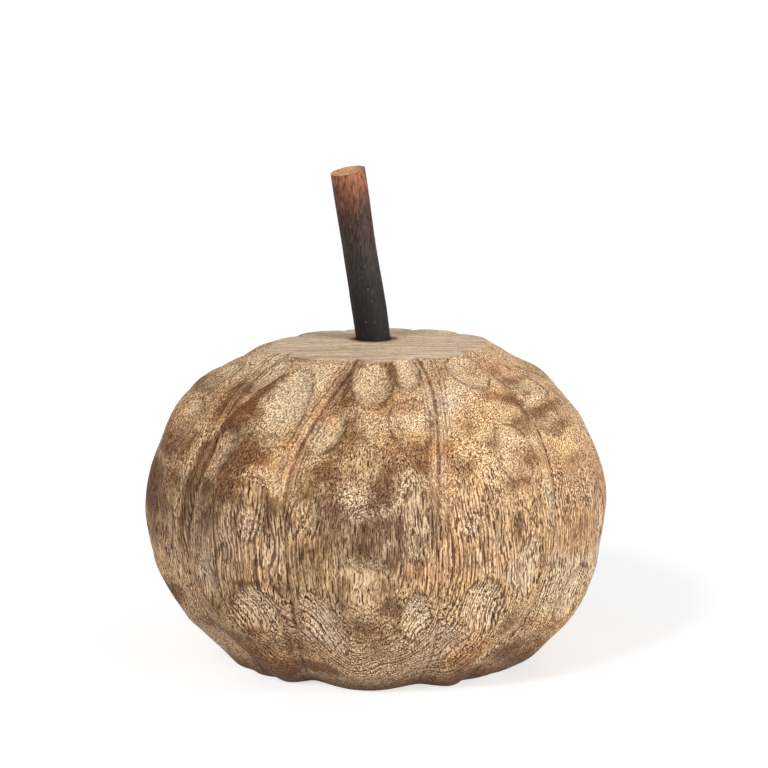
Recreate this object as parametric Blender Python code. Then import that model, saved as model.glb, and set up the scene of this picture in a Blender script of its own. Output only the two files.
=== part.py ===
"""A hand-carved wooden pumpkin with a twig for its stem.

The body is one block of wood: ten uneven ribs that meet in creases, shallow gouge scoops all
over, a sanded top and a flat base. A cut twig stands in a slanted hole in the top. Metres, +Z up,
with the origin in the middle of the base. Azimuth 0 is the front, at -Y, and it grows towards +X.
"""
import math

import bpy
import numpy as np

MM = 0.001

# The body's outline: a superellipse, fuller above than below, cut flat at the base and the top
BODY_RADIUS = 50.0 * MM
BODY_HEIGHT = 68.2 * MM
WIDEST_HEIGHT = 31.4 * MM
OUTLINE_REACH = 40.2 * MM
LOW_BULGE = 2.05
HIGH_BULGE = 2.27
TOP_DOME = 0.5 * MM
TOP_TILT = 0.015
TILTED_FROM = 50.0 * MM
OUTLINE_SAMPLES = 400
EDGE_ZONE = 5.0 * MM
EDGE_STEEPNESS = 0.60

# The creases between the ribs: their azimuths in degrees at four heights, foot to top. They are
# soft valleys near the foot, all soft below the first height here and sharp above the second
CREASE_HEIGHTS = (4.0 * MM, 32.0 * MM, 58.0 * MM, 68.0 * MM)
CREASES = (
    (-47.0, -53.0, -51.0, -57.0),
    (-24.0, -22.0, -18.5, -10.0),
    (16.8, 15.2, 18.5, 23.0),
    (40.0, 49.5, 53.5, 56.5),
    (84.0, 85.0, 88.0, 91.0),
    (123.0, 121.0, 124.0, 127.0),
    (157.0, 159.0, 161.0, 158.0),
    (194.0, 197.0, 195.0, 199.0),
    (231.0, 233.0, 229.0, 232.0),
    (272.0, 270.0, 268.0, 266.0),
)
CREASE_DEPTH_FOOT = 2.2 * MM
CREASE_DEPTH_WAIST = 1.8 * MM
CREASE_DEPTH_TOP = 1.2 * MM
CREASE_SHARPNESS = 2.2
SOFT_CREASE_HEIGHTS = (6.0 * MM, 22.0 * MM)
RIB_SWELL = 0.5 * MM

# Broad swellings (+) and flats (-) left by the rough shaping: azimuth in degrees,
# then height, half width, half length and rise in mm
ROUGH_SHAPE = (
    (-80.0, 57.0, 18.0, 12.0, 1.0),
    (-108.0, 66.5, 18.0, 10.0, -1.2),
    (-100.0, 67.0, 9.0, 6.0, 1.0),
    (-92.0, 60.5, 8.0, 5.0, 0.8),
    (-84.0, 34.0, 12.0, 18.0, 0.5),
    (-82.0, 13.0, 22.0, 14.0, -1.2),
    (-61.0, 5.0, 13.0, 9.0, -1.8),
    (-46.0, 0.5, 7.0, 6.0, 1.7),
    (-29.0, 0.0, 7.0, 6.0, -0.4),
    (8.0, 0.0, 8.0, 6.0, 0.5),
    (38.0, 0.0, 8.0, 7.0, 1.3),
    (66.0, 3.0, 8.0, 7.0, 0.7),
    (72.0, 64.5, 15.0, 10.0, -1.4),
    (92.0, 65.0, 16.0, 9.0, -1.5),
    (88.0, 36.0, 16.0, 14.0, 1.1),
    (72.0, 14.0, 20.0, 14.0, 0.9),
)

# Gouge scoops: azimuth in degrees, then height, half width, half length in mm,
# lean to the right in degrees, depth in mm, and 1 for a crisp edge or 2 for a soft one
SCOOPS = (
    (-1.0, 64.6, 4.4, 7.6, 0, 1.30, 1),
    (-13.5, 56.3, 3.6, 5.8, 20, 0.95, 1),
    (12.5, 66.3, 3.2, 6.6, 8, 0.90, 1),
    (10.5, 57.4, 4.6, 6.6, 10, 1.25, 1),
    (-1.5, 57.0, 3.4, 4.2, 0, 0.70, 2),
    (-3.2, 47.3, 6.8, 8.2, 0, 1.70, 2),
    (10.0, 38.6, 3.3, 8.2, 0, 1.10, 1),
    (-16.0, 41.2, 3.2, 6.4, 0, 0.80, 2),
    (-2.5, 28.8, 6.8, 6.0, 0, 1.30, 2),
    (-13.0, 17.8, 4.2, 8.4, -24, 1.20, 1),
    (10.0, 19.1, 3.4, 6.0, 0, 1.10, 1),
    (1.0, 8.6, 6.4, 5.0, 0, 0.90, 2),
    (28.0, 58.8, 5.8, 7.6, 0, 1.45, 2),
    (39.5, 65.4, 4.6, 6.2, 12, 1.10, 1),
    (38.5, 51.0, 5.2, 6.2, 0, 1.15, 1),
    (23.5, 41.3, 4.2, 7.4, 0, 1.00, 2),
    (31.0, 34.7, 2.8, 7.0, 0, 0.90, 2),
    (39.5, 28.1, 4.0, 6.4, 5, 1.15, 1),
    (27.0, 20.8, 5.0, 6.2, -12, 1.25, 1),
    (36.0, 7.6, 3.2, 7.0, 48, 1.40, 1),
    (21.5, 11.0, 4.0, 5.0, 0, 0.90, 2),
    (-46.0, 65.0, 3.8, 6.0, 8, 1.20, 1),
    (-29.0, 60.6, 4.7, 11.0, -6, 1.30, 1),
    (-45.5, 50.6, 4.8, 6.6, 14, 1.35, 1),
    (-28.0, 48.2, 5.0, 4.2, 10, 0.80, 2),
    (-31.0, 40.8, 4.0, 6.6, 0, 1.20, 1),
    (-38.0, 31.4, 3.8, 4.6, 0, 0.90, 2),
    (-25.0, 33.6, 2.6, 6.2, 0, 0.70, 2),
    (-45.0, 23.8, 3.6, 5.8, -14, 1.00, 1),
    (-30.5, 19.2, 5.4, 5.4, 0, 1.35, 1),
    (-33.0, 9.4, 4.0, 4.4, 0, 0.90, 2),
    (-72.0, 62.6, 4.0, 6.0, 10, 1.00, 1),
    (-67.0, 53.6, 4.8, 6.8, 6, 1.15, 1),
    (-72.0, 41.6, 4.6, 6.2, 0, 0.95, 2),
    (-63.0, 33.6, 4.0, 5.6, -8, 1.05, 1),
    (-78.0, 27.0, 4.4, 6.0, 5, 1.00, 1),
    (-62.0, 17.6, 4.4, 6.4, -16, 1.05, 2),
    (-75.0, 9.6, 4.2, 5.0, 10, 1.00, 1),
    (66.0, 62.8, 4.6, 6.4, 6, 1.05, 1),
    (59.0, 56.8, 4.8, 5.6, 0, 1.15, 1),
    (76.0, 50.0, 4.6, 6.6, 0, 1.05, 2),
    (60.0, 44.2, 4.0, 6.8, 0, 0.95, 2),
    (71.0, 34.0, 4.2, 6.2, 0, 1.05, 1),
    (58.0, 30.0, 3.6, 5.4, 0, 0.85, 2),
    (60.0, 18.6, 4.8, 6.8, 14, 1.15, 1),
    (75.0, 16.4, 4.2, 5.6, -10, 1.05, 1),
    (55.0, 7.8, 3.8, 4.8, 30, 1.00, 1),
)

# The rule for the ribs at the back: rows of scoops from the foot up, side to side in turn
RULED_RIBS = (4, 5, 6, 7, 8)
RULED_HEIGHTS_MM = (9.0, 18.0, 27.5, 37.5, 47.5, 56.5, 63.5)
RULED_SEED = 41
RULED_SIDE_STEP = 0.42
RULED_SIDE_SPREAD = 0.22
RULED_HEIGHT_SPREAD_MM = 2.2
RULED_HALF_WIDTH_MM = (3.6, 5.6)
RULED_HALF_LENGTH_MM = (5.2, 7.8)
RULED_LEAN = 22.0
RULED_DEPTH_MM = (0.85, 1.40)

# The twig: its slant, where its middle leaves the top, and the hole that it is glued into
STEM_RADIUS = 3.75 * MM
STEM_LENGTH = 37.2 * MM
STEM_LEAN_LEFT = 8.5
STEM_FOOT_X = -0.6 * MM
STEM_FOOT_Y = 4.2 * MM
STEM_SUNK = 12.0 * MM
STEM_CUT_FORWARD = 9.0
STEM_CUT_SIDE = -2.5
STEM_WANDER = 0.12 * MM
STEM_WANDER_TURNS = 1.15
STEM_SWELL = 0.02
STEM_SWELL_TURNS = 1.4
HOLE_GAP = 0.3 * MM
HOLE_DEPTH = 12.3 * MM

# Facets, and the angle between two of them that stays a crisp edge
RIB_STEPS = 11
BODY_ROWS = 44
STEM_SIDES = 22
STEM_ROWS = 9
CRISP_EDGE = 38.0

# Colours and roughness
WOOD_COLOUR = (0.50, 0.33, 0.18)
WOOD_ROUGHNESS = 0.72
BARK_COLOUR = (0.07, 0.04, 0.03)
BARK_ROUGHNESS = 0.80


def clear_scene():
    for old in list(bpy.data.objects):
        bpy.data.objects.remove(old, do_unlink=True)


def outline():
    """Length along the outline, radius, height and outward normal, from base to top."""
    z = np.linspace(0.0, BODY_HEIGHT, OUTLINE_SAMPLES)
    bulge = np.where(z < WIDEST_HEIGHT, LOW_BULGE, HIGH_BULGE)
    away = np.abs(z - WIDEST_HEIGHT) / OUTLINE_REACH
    r = BODY_RADIUS * (1.0 - away ** bulge) ** (1.0 / bulge)
    along = np.concatenate([[0.0], np.cumsum(np.hypot(np.diff(r), np.diff(z)))])
    slope_r = np.gradient(r, along)
    slope_z = np.gradient(z, along)
    size = np.hypot(slope_r, slope_z)
    return along, r, z, slope_z / size, -slope_r / size


def crease_azimuths(height):
    """The azimuth of every crease at a height, in radians, with the first again at the end."""
    turns = [np.polyval(np.polyfit(CREASE_HEIGHTS, crease, 3), height) for crease in CREASES]
    return np.radians(turns + [turns[0] + 360.0])


def crease_depth(height):
    """How far a crease lies below the crest of its ribs, at a height."""
    heights = (0.0, WIDEST_HEIGHT, BODY_HEIGHT)
    return np.interp(height, heights, (CREASE_DEPTH_FOOT, CREASE_DEPTH_WAIST, CREASE_DEPTH_TOP))


def surface_offsets(azimuth, along, radius, spot, outline_along, outline_z):
    """Distances across and up from a spot (azimuth in degrees, height in mm) on the surface."""
    turn, height = spot
    aside = (azimuth - math.radians(turn) + math.pi) % (2 * math.pi) - math.pi
    return aside * radius, along - np.interp(height * MM, outline_z, outline_along)


def rough_rise(azimuth, along, radius, outline_along, outline_z):
    """How far the rough shaping left the surface outside its even outline."""
    rise = np.zeros_like(azimuth)
    for turn, height, half_width, half_length, amount in ROUGH_SHAPE:
        spot = (turn, height)
        across, up = surface_offsets(azimuth, along, radius, spot, outline_along, outline_z)
        reach = (across / (half_width * MM)) ** 2 + (up / (half_length * MM)) ** 2
        rise += amount * MM * np.clip(1.0 - reach, 0.0, None) ** 2
    return rise


def ruled_scoops():
    """Scoops for the ribs at the back, in the same terms as SCOOPS."""
    draw = np.random.RandomState(RULED_SEED)
    found = []
    for rib in RULED_RIBS:
        for row, height in enumerate(RULED_HEIGHTS_MM):
            z = height + draw.uniform(-1.0, 1.0) * RULED_HEIGHT_SPREAD_MM
            edges = crease_azimuths(z * MM)
            middle = (edges[rib] + edges[rib + 1]) / 2
            half = (edges[rib + 1] - edges[rib]) / 2
            side = RULED_SIDE_STEP * (-1) ** (row + rib)
            side += draw.uniform(-1.0, 1.0) * RULED_SIDE_SPREAD
            found.append((
                math.degrees(middle + half * side), z, draw.uniform(*RULED_HALF_WIDTH_MM),
                draw.uniform(*RULED_HALF_LENGTH_MM), draw.uniform(-RULED_LEAN, RULED_LEAN),
                draw.uniform(*RULED_DEPTH_MM), 1 + draw.randint(2),
            ))
    return found


def scoop_depth(azimuth, along, radius, scoops, outline_along, outline_z):
    """How deep the gouge went at each point: the deepest scoop that reaches it."""
    deepest = np.zeros_like(azimuth)
    for turn, height, half_width, half_length, lean, depth, softness in scoops:
        spot = (turn, height)
        across, up = surface_offsets(azimuth, along, radius, spot, outline_along, outline_z)
        cos, sin = math.cos(math.radians(lean)), math.sin(math.radians(lean))
        reach = ((across * cos - up * sin) / (half_width * MM)) ** 2
        reach += ((across * sin + up * cos) / (half_length * MM)) ** 2
        cut = depth * MM * np.clip(1.0 - reach, 0.0, None) ** softness
        deepest = np.maximum(deepest, cut)
    return deepest


def carved_grid():
    """Rings of points from the base to the rim of the top, as an array of rows and columns."""
    along, r, z, normal_r, normal_z = outline()
    stations = np.linspace(0.0, along[-1], BODY_ROWS + 1)
    row_r, row_z = np.interp(stations, along, r), np.interp(stations, along, z)
    row_nr, row_nz = np.interp(stations, along, normal_r), np.interp(stations, along, normal_z)

    across = np.arange(RIB_STEPS) / RIB_STEPS
    azimuth, side = [], []
    for height in row_z:
        edges = crease_azimuths(height)
        azimuth.append(np.concatenate([a + (b - a) * across for a, b in zip(edges, edges[1:])]))
        side.append(np.tile(2 * across - 1, len(CREASES)))
    azimuth, side = np.array(azimuth), np.array(side)

    column = np.newaxis
    soft = np.interp(row_z, SOFT_CREASE_HEIGHTS, (1.0, 0.0))[:, column]
    profile = soft * np.sin(math.pi / 2 * side) ** 2 + (1 - soft) * np.abs(side) ** CREASE_SHARPNESS
    crease = crease_depth(row_z)[:, column] * profile - RIB_SWELL
    scoops = SCOOPS + tuple(ruled_scoops())
    where = (azimuth, stations[:, column], row_r[:, column])
    cut = crease + scoop_depth(*where, scoops, along, z) - rough_rise(*where, along, z)

    # A cut goes in along the normal, and level where the surface meets the flat base and top
    to_edge = np.minimum(stations, along[-1] - stations)
    level = np.clip(1.0 - to_edge / EDGE_ZONE, 0.0, 1.0)
    way_r, way_z = row_nr * (1 - level) + level, row_nz * (1 - level)
    push = cut / np.maximum(row_nr * way_r + row_nz * way_z, EDGE_STEEPNESS)[:, column]
    radius = row_r[:, column] - push * way_r[:, column]
    height = row_z[:, column] - push * way_z[:, column]
    return np.stack([radius * np.sin(azimuth), -radius * np.cos(azimuth), height], axis=-1)


def tilted(points):
    """The points with the flat top, and what is near it, a little higher on the right."""
    share = np.clip((points[..., 2] - TILTED_FROM) / (BODY_HEIGHT - TILTED_FROM), 0.0, 1.0)
    moved = points.copy()
    moved[..., 2] += TOP_TILT * points[..., 0] * share ** 2
    return moved


def stem_frame():
    """The twig's axis and two directions across it."""
    lean = math.radians(STEM_LEAN_LEFT)
    axis = np.array([-math.sin(lean), 0.0, math.cos(lean)])
    right = np.array([math.cos(lean), 0.0, math.sin(lean)])
    front = np.array([0.0, -1.0, 0.0])
    return axis, right, front


def stem_foot():
    """Where the twig's axis leaves the top."""
    return np.array([STEM_FOOT_X, STEM_FOOT_Y, BODY_HEIGHT + TOP_DOME])


def round_ring(centre, radius, sides):
    """A circle of points across the twig's axis."""
    axis, right, front = stem_frame()
    turns = np.arange(sides) * 2 * math.pi / sides
    return centre + radius * (np.outer(np.cos(turns), front) + np.outer(np.sin(turns), right))


def solid_from_rings(name, rings, material):
    """A closed solid with quads between rings of equal count and a flat face at each end."""
    count = len(rings[0])
    points = np.concatenate(rings)
    faces = [tuple(range(count))[::-1]]
    for ring in range(len(rings) - 1):
        low, high = ring * count, (ring + 1) * count
        for step in range(count):
            after = (step + 1) % count
            faces.append((low + step, low + after, high + after, high + step))
    faces.append(tuple(range(len(points) - count, len(points))))

    mesh = bpy.data.meshes.new(name)
    mesh.from_pydata(points.tolist(), [], faces)
    mesh.materials.append(material)
    mesh.shade_smooth()
    mesh.set_sharp_from_angle(angle=math.radians(CRISP_EDGE))
    piece = bpy.data.objects.new(name, mesh)
    bpy.context.scene.collection.objects.link(piece)
    return piece


def plain_material(name, colour, roughness):
    material = bpy.data.materials.new(name)
    material.use_nodes = True
    surface = material.node_tree.nodes["Principled BSDF"]
    surface.inputs["Base Color"].default_value = (*colour, 1.0)
    surface.inputs["Roughness"].default_value = roughness
    surface.inputs["Metallic"].default_value = 0.0
    return material


def make_body():
    """The carved block, with the blind hole for the twig in its sanded top."""
    grid = carved_grid()
    rim = grid[-1]
    azimuths = np.arctan2(rim[:, 0], -rim[:, 1])
    axis, right, front = stem_frame()
    foot = stem_foot()

    # The hole's mouth, one point for each column, turned to face the rim's own points
    radius = STEM_RADIUS + HOLE_GAP
    around = np.outer(np.cos(azimuths), front) + np.outer(np.sin(azimuths), right)
    mouth = foot + radius * around
    mouth += np.outer((foot[2] - mouth[:, 2]) / axis[2], axis)
    floor = foot + radius * around - HOLE_DEPTH * axis

    # A dome is three quarters of its height halfway in from its rim
    middle = (rim + mouth) / 2
    middle[:, 2] = BODY_HEIGHT + TOP_DOME * 3 / 4
    wood = plain_material("carved_wood", WOOD_COLOUR, WOOD_ROUGHNESS)
    rings = [tilted(ring) for ring in (*grid, middle, mouth)]
    return solid_from_rings("carved_body", [*rings, floor], wood)


def make_stem():
    """The twig: a plain round foot in its hole, then an uneven rod with a slanted cut."""
    axis, right, front = stem_frame()
    foot = stem_foot()
    rings = [round_ring(foot - STEM_SUNK * axis, STEM_RADIUS, STEM_SIDES),
             round_ring(foot, STEM_RADIUS, STEM_SIDES)]
    for row in range(1, STEM_ROWS + 1):
        share = row / STEM_ROWS
        swing = STEM_WANDER * math.sin(2 * math.pi * STEM_WANDER_TURNS * share) * (1 - share)
        radius = STEM_RADIUS * (1.0 + STEM_SWELL * math.sin(2 * math.pi * STEM_SWELL_TURNS * share))
        ring = round_ring(foot + share * STEM_LENGTH * axis + swing * right, radius, STEM_SIDES)
        rings.append(ring)

    # The cut slants towards the front and a little to the side
    top = rings[-1]
    centre = top.mean(axis=0)
    slope = -math.tan(math.radians(STEM_CUT_FORWARD)) * ((top - centre) @ front)
    slope -= math.tan(math.radians(STEM_CUT_SIDE)) * ((top - centre) @ right)
    rings[-1] = top + np.outer(slope, axis)
    bark = plain_material("twig_bark", BARK_COLOUR, BARK_ROUGHNESS)
    return solid_from_rings("twig_stem", rings, bark)


def main():
    clear_scene()
    make_body()
    make_stem()


main()
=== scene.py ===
import math

import bpy
import numpy as np
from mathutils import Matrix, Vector, noise


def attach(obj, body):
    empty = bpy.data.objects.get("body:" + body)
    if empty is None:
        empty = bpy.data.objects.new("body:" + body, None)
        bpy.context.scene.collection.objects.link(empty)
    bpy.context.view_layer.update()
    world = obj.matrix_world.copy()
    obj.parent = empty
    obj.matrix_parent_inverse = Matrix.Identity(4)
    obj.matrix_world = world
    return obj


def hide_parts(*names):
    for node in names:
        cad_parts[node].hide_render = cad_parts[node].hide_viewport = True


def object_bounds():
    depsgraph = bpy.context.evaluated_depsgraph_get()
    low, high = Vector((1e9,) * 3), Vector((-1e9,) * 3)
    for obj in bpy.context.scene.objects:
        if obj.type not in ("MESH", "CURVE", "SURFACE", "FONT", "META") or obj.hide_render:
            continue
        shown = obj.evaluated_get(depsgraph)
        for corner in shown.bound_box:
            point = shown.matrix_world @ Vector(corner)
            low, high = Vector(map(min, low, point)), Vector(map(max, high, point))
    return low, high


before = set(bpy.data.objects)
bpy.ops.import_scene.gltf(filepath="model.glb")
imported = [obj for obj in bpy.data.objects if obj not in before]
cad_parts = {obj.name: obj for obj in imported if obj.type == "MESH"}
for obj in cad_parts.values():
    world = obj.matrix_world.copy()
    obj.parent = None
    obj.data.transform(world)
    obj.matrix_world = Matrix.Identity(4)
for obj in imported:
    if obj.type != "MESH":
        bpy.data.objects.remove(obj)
cad_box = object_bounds()

MM = 0.001

# The body's outline, in the same terms as the solids that it replaces
BODY_RADIUS = 50.0 * MM
BODY_HEIGHT = 68.2 * MM
WIDEST_HEIGHT = 31.4 * MM
OUTLINE_REACH = 40.2 * MM
LOW_BULGE = 2.05
HIGH_BULGE = 2.27
TOP_DOME = 0.5 * MM
TOP_TILT = 0.015
TILTED_FROM = 50.0 * MM
OUTLINE_SAMPLES = 400
EDGE_ZONE = 5.0 * MM
EDGE_STEEPNESS = 0.60

# The creases between the ribs: their azimuths in degrees at four heights, foot to top
CREASE_HEIGHTS = (4.0 * MM, 32.0 * MM, 58.0 * MM, 68.0 * MM)
CREASES = (
    (-47.0, -53.0, -51.0, -57.0),
    (-24.0, -22.0, -18.5, -10.0),
    (16.8, 15.2, 18.5, 23.0),
    (40.0, 49.5, 53.5, 56.5),
    (84.0, 85.0, 88.0, 91.0),
    (123.0, 121.0, 124.0, 127.0),
    (157.0, 159.0, 161.0, 158.0),
    (194.0, 197.0, 195.0, 199.0),
    (231.0, 233.0, 229.0, 232.0),
    (272.0, 270.0, 268.0, 266.0),
)
CREASE_DEPTH_FOOT = 2.2 * MM
CREASE_DEPTH_WAIST = 1.8 * MM
CREASE_DEPTH_TOP = 1.2 * MM
CREASE_SHARPNESS = 2.2
SOFT_CREASE_HEIGHTS = (6.0 * MM, 22.0 * MM)
RIB_SWELL = 0.5 * MM

# Broad swellings (+) and flats (-) left by the rough shaping: azimuth in degrees,
# then height, half width, half length and rise in mm
ROUGH_SHAPE = (
    (-80.0, 57.0, 18.0, 12.0, 1.0),
    (-108.0, 66.5, 18.0, 10.0, -1.2),
    (-100.0, 67.0, 9.0, 6.0, 1.0),
    (-92.0, 60.5, 8.0, 5.0, 0.8),
    (-84.0, 34.0, 12.0, 18.0, 0.5),
    (-82.0, 13.0, 22.0, 14.0, -1.2),
    (-61.0, 5.0, 13.0, 9.0, -1.8),
    (-46.0, 0.5, 7.0, 6.0, 1.7),
    (-29.0, 0.0, 7.0, 6.0, -0.4),
    (8.0, 0.0, 8.0, 6.0, 0.5),
    (38.0, 0.0, 8.0, 7.0, 1.3),
    (47.0, 0.5, 8.0, 5.0, 0.5),
    (66.0, 3.0, 8.0, 7.0, 0.7),
    (72.0, 64.5, 15.0, 10.0, -1.4),
    (92.0, 65.0, 16.0, 9.0, -1.5),
    (88.0, 36.0, 16.0, 14.0, 1.1),
    (72.0, 14.0, 20.0, 14.0, 0.9),
)

# Gouge scoops: azimuth in degrees, then height, half width, half length in mm,
# lean to the right in degrees, depth in mm, and 1 for a crisp edge or 2 for a soft one
SCOOPS = (
    (-1, 64.6, 4.4, 7.6, 0, 1.3, 1), (-13.5, 56.3, 3.6, 5.8, 20, 0.95, 1),
    (12.5, 66.3, 3.2, 6.6, 8, 0.9, 1), (10.5, 57.4, 4.6, 6.6, 10, 1.25, 1),
    (-1.5, 57, 3.4, 4.2, 0, 0.7, 2), (-3.2, 47.3, 6.8, 8.2, 0, 1.7, 2),
    (10, 38.6, 3.3, 8.2, 0, 1.1, 1), (-16, 41.2, 3.2, 6.4, 0, 0.8, 2),
    (-2.5, 28.8, 6.8, 6, 0, 1.3, 2), (-13, 17.8, 4.2, 8.4, -24, 1.2, 1),
    (10, 19.1, 3.4, 6, 0, 1.1, 1), (1, 8.6, 6.4, 5, 0, 0.9, 2), (28, 58.8, 5.8, 7.6, 0, 1.45, 2),
    (39.5, 65.4, 4.6, 6.2, 12, 1.1, 1), (38.5, 51, 5.2, 6.2, 0, 1.15, 1),
    (23.5, 41.3, 4.2, 7.4, 0, 1, 2), (31, 34.7, 2.8, 7, 0, 0.9, 2),
    (39.5, 28.1, 4, 6.4, 5, 1.15, 1), (27, 20.8, 5, 6.2, -12, 1.25, 1),
    (36, 7.6, 3.2, 7, 48, 1.4, 1), (21.5, 11, 4, 5, 0, 0.9, 2), (-46, 65, 3.8, 6, 8, 1.2, 1),
    (-29, 60.6, 4.7, 11, -6, 1.3, 1), (-45.5, 50.6, 4.8, 6.6, 14, 1.35, 1),
    (-28, 48.2, 5, 4.2, 10, 0.8, 2), (-31, 40.8, 4, 6.6, 0, 1.2, 1),
    (-38, 31.4, 3.8, 4.6, 0, 0.9, 2), (-25, 33.6, 2.6, 6.2, 0, 0.7, 2),
    (-45, 23.8, 3.6, 5.8, -14, 1, 1), (-30.5, 19.2, 5.4, 5.4, 0, 1.35, 1),
    (-33, 9.4, 4, 4.4, 0, 0.9, 2), (-72, 62.6, 4, 6, 10, 1, 1), (-67, 53.6, 4.8, 6.8, 6, 1.15, 1),
    (-72, 41.6, 4.6, 6.2, 0, 0.95, 2), (-63, 33.6, 4, 5.6, -8, 1.05, 1), (-78, 27, 4.4, 6, 5, 1, 1),
    (-62, 17.6, 4.4, 6.4, -16, 1.05, 2), (-75, 9.6, 4.2, 5, 10, 1, 1),
    (66, 62.8, 4.6, 6.4, 6, 1.05, 1), (59, 56.8, 4.8, 5.6, 0, 1.15, 1),
    (76, 50, 4.6, 6.6, 0, 1.05, 2), (60, 44.2, 4, 6.8, 0, 0.95, 2), (71, 34, 4.2, 6.2, 0, 1.05, 1),
    (58, 30, 3.6, 5.4, 0, 0.85, 2), (60, 18.6, 4.8, 6.8, 14, 1.15, 1),
    (75, 16.4, 4.2, 5.6, -10, 1.05, 1), (55, 7.8, 3.8, 4.8, 30, 1, 1),
)

# The rule for the ribs at the back: rows of scoops from the foot up, side to side in turn
RULED_RIBS = (4, 5, 6, 7, 8)
RULED_HEIGHTS_MM = (9.0, 18.0, 27.5, 37.5, 47.5, 56.5, 63.5)
RULED_SEED = 41
RULED_SIDE_STEP = 0.42
RULED_SIDE_SPREAD = 0.22
RULED_HEIGHT_SPREAD_MM = 2.2
RULED_HALF_WIDTH_MM = (3.6, 5.6)
RULED_HALF_LENGTH_MM = (5.2, 7.8)
RULED_LEAN = 22.0
RULED_DEPTH_MM = (0.85, 1.40)

# The twig, in the same terms as its solid; only the gap round it is drawn narrower than there
STEM_RADIUS = 3.75 * MM
STEM_LENGTH = 37.2 * MM
STEM_LEAN_LEFT = 8.5
STEM_FOOT_X = -0.6 * MM
STEM_FOOT_Y = 4.2 * MM
STEM_SUNK = 12.0 * MM
STEM_CUT_FORWARD = 9.0
STEM_CUT_SIDE = -2.5
STEM_WANDER = 0.12 * MM
STEM_WANDER_TURNS = 1.15
STEM_SWELL = 0.02
STEM_SWELL_TURNS = 1.4
HOLE_GAP = 0.1 * MM
HOLE_DEPTH = 12.3 * MM

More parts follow.
